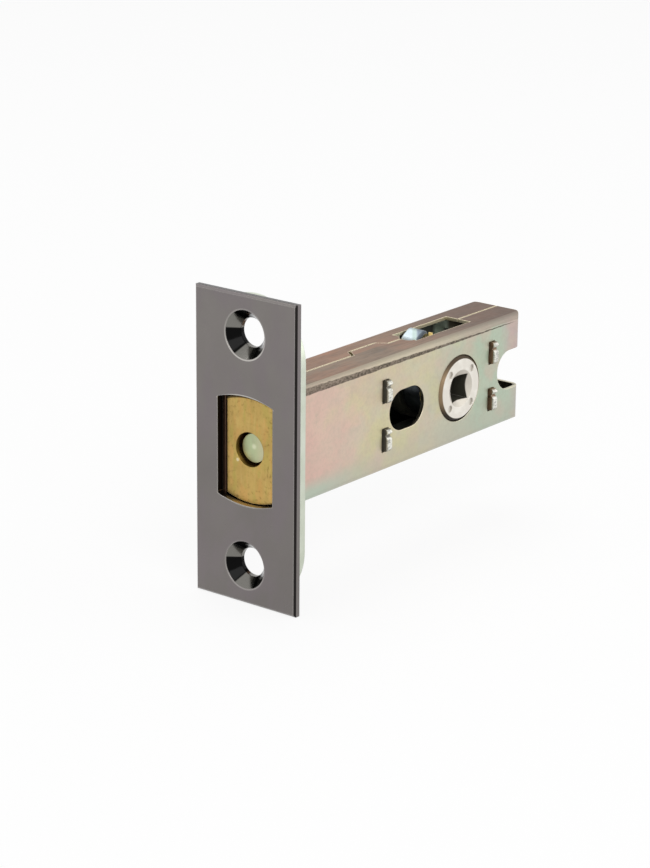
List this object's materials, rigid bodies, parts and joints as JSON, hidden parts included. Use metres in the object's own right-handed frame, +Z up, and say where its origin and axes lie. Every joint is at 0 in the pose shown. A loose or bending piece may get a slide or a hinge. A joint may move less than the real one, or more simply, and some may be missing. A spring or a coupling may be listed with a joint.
{
  "type": "tubular deadbolt",
  "caption": "Tubular mortice deadbolt with a flat faceplate, a pressed case, a barrel-section brass bolt and a square-bored follower that throws the bolt.",
  "frame": {"origin": "centre of the faceplate's front face, midway between the screw holes", "axes": "+X into the door along the case, +Y to the far side, +Z up"},
  "size_m": [0.08, 0.0242, 0.06],
  "materials": {
    "black_nickel": "satin black nickel plate",
    "zinc": "bright zinc plate",
    "passivate": "iridescent yellow passivated zinc plate",
    "brass": "drawn, dull",
    "hard_steel": "ground",
    "hub_zinc": "die cast zinc, bright",
    "gold_zinc": "yellow passivated zinc plate",
    "spring_steel": "spring steel"
  },
  "bodies": {
    "lock_case": {"faceplate": "black_nickel", "inner_forend": "zinc", "case_near": "passivate", "case_far": "passivate", "spacer_front": "zinc", "spacer_rear": "zinc", "detent_spring": "spring_steel"},
    "bolt_unit": {"bolt": "brass", "bolt_pin": "hard_steel", "draw_bar": "zinc", "draw_pins": "hard_steel"},
    "follower": {"cam": "zinc", "cam_side": "gold_zinc", "cam_rivets": "hard_steel", "bush_near": "hub_zinc", "bush_far": "hub_zinc"}
  },
  "joints": [
    {"name": "bolt_throw", "type": "slide", "parent": "lock_case", "child": "bolt_unit", "axis": [-1, 0, 0], "range_m": [0, 0.01244]},
    {"name": "follower_turn", "type": "hinge", "parent": "lock_case", "child": "follower", "pos_m": [0.0584, 0, 0], "axis": [0, 1, 0], "range_deg": [0, 90], "deforming": ["detent_spring"]}
  ],
  "couplings": [
    {"joint": "follower_turn", "follows": "bolt_throw", "rad_per_m": 126.22}
  ]
}
